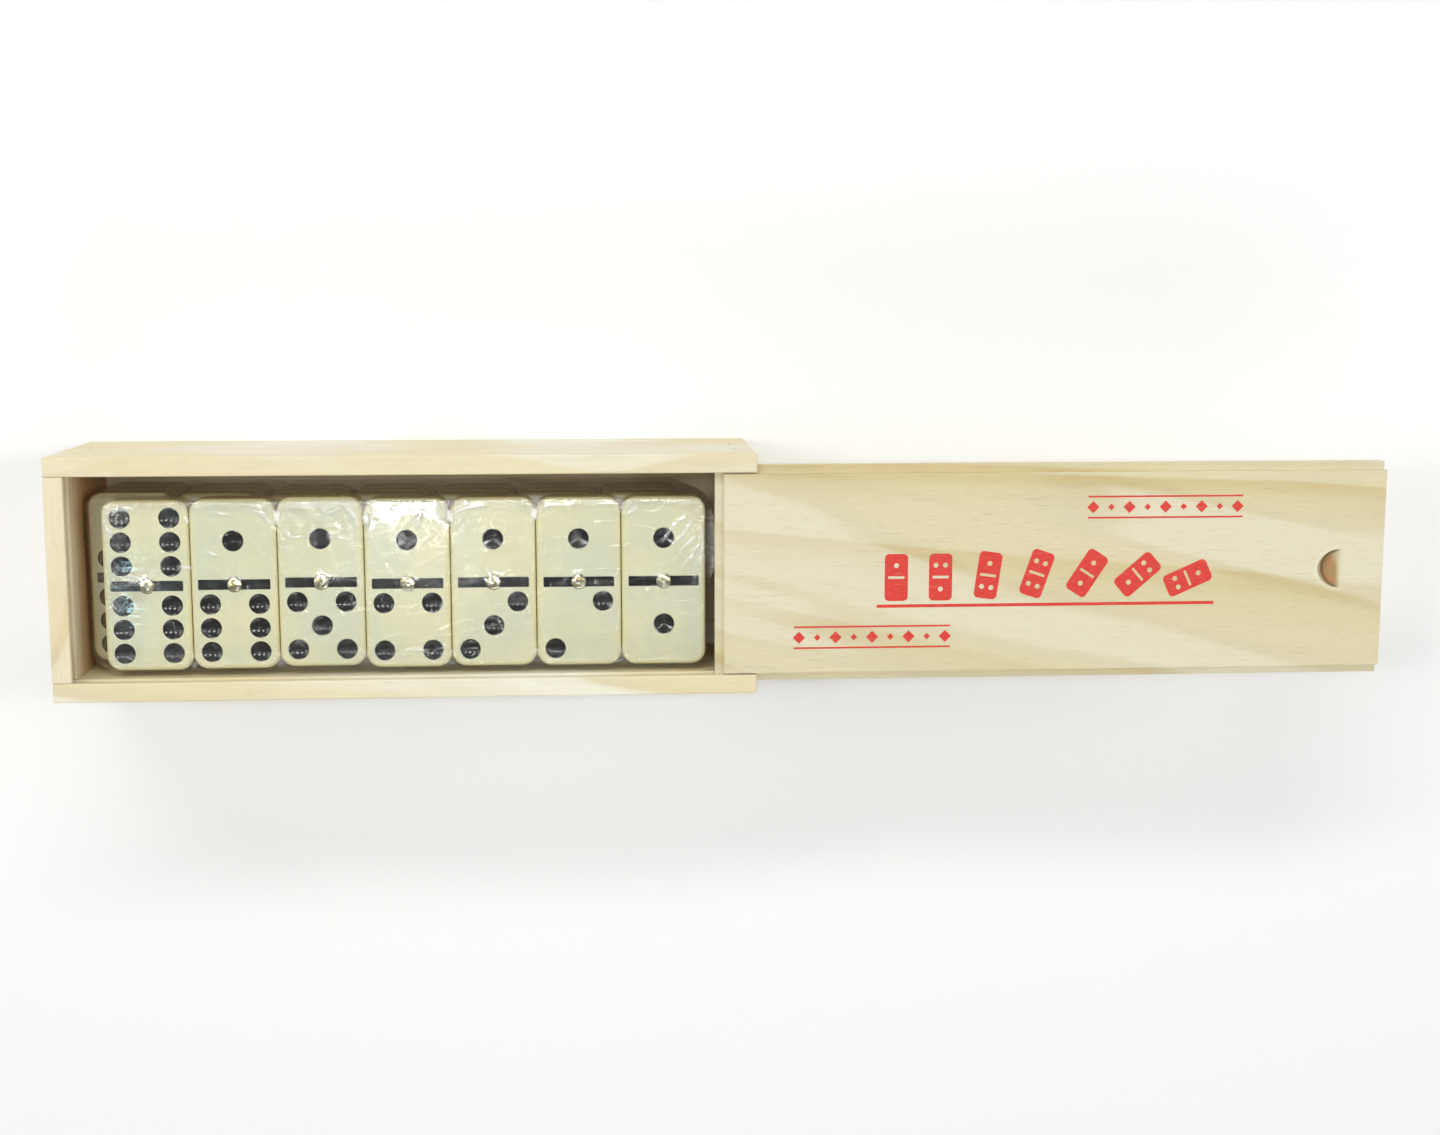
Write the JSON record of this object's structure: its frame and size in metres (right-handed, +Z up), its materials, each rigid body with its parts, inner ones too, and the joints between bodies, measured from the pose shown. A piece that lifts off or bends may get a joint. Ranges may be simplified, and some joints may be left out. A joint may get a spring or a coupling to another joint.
{
  "type": "domino storage box",
  "caption": "Long pine box with a sliding lid and finger notch, holding stacked ivory domino tiles with dimple pips, divider bars and brass spinners, wrapped in clear film.",
  "frame": {"origin": "middle of the box's underside, on the surface that the box stands on", "axes": "+X along the box towards the end where the lid slides out, +Y across the box towards the back side wall, +Z up out of the open top"},
  "size_m": [0.375, 0.068, 0.054],
  "materials": {
    "pine_side": "sanded bare pine, pale",
    "pine_end": "sanded bare pine",
    "pine_floor": "sanded bare pine",
    "pine_lid": "sanded bare pine with broad grain bands and red printed ornament",
    "tile_ivory": "polished ivory plastic with black dimples",
    "spinner_brass": "bright domed pin",
    "film_clear": "clear shrink film, creased"
  },
  "bodies": {
    "box": {"front_side_wall": "pine_side", "back_side_wall": "pine_side", "closed_end_wall": "pine_end", "open_end_wall": "pine_end", "floor_panel": "pine_floor", "tile_6_6": "tile_ivory", "tile_1_6": "tile_ivory", "tile_1_5": "tile_ivory", "tile_1_4": "tile_ivory", "tile_1_3": "tile_ivory", "tile_1_2": "tile_ivory", "tile_1_1": "tile_ivory", "tile_2_6": "tile_ivory", "tile_2_5": "tile_ivory", "tile_2_4": "tile_ivory", "tile_2_3": "tile_ivory", "tile_2_2": "tile_ivory", "tile_0_6": "tile_ivory", "tile_0_5": "tile_ivory", "tile_3_6": "tile_ivory", "tile_3_5": "tile_ivory", "tile_3_4": "tile_ivory", "tile_3_3": "tile_ivory", "tile_4_6": "tile_ivory", "tile_4_5": "tile_ivory", "tile_4_4": "tile_ivory", "tile_5_6": "tile_ivory", "tile_5_5": "tile_ivory", "tile_0_4": "tile_ivory", "tile_0_3": "tile_ivory", "tile_0_2": "tile_ivory", "tile_0_1": "tile_ivory", "tile_0_0": "tile_ivory", "brass_spinners": "spinner_brass", "shrink_film": "film_clear"},
    "lid": {"sliding_lid": "pine_lid"}
  },
  "joints": [
    {"name": "lid_slide", "type": "slide", "parent": "box", "child": "lid", "axis": [1, 0, 0], "range_m": [-0.18, 0.022]}
  ]
}
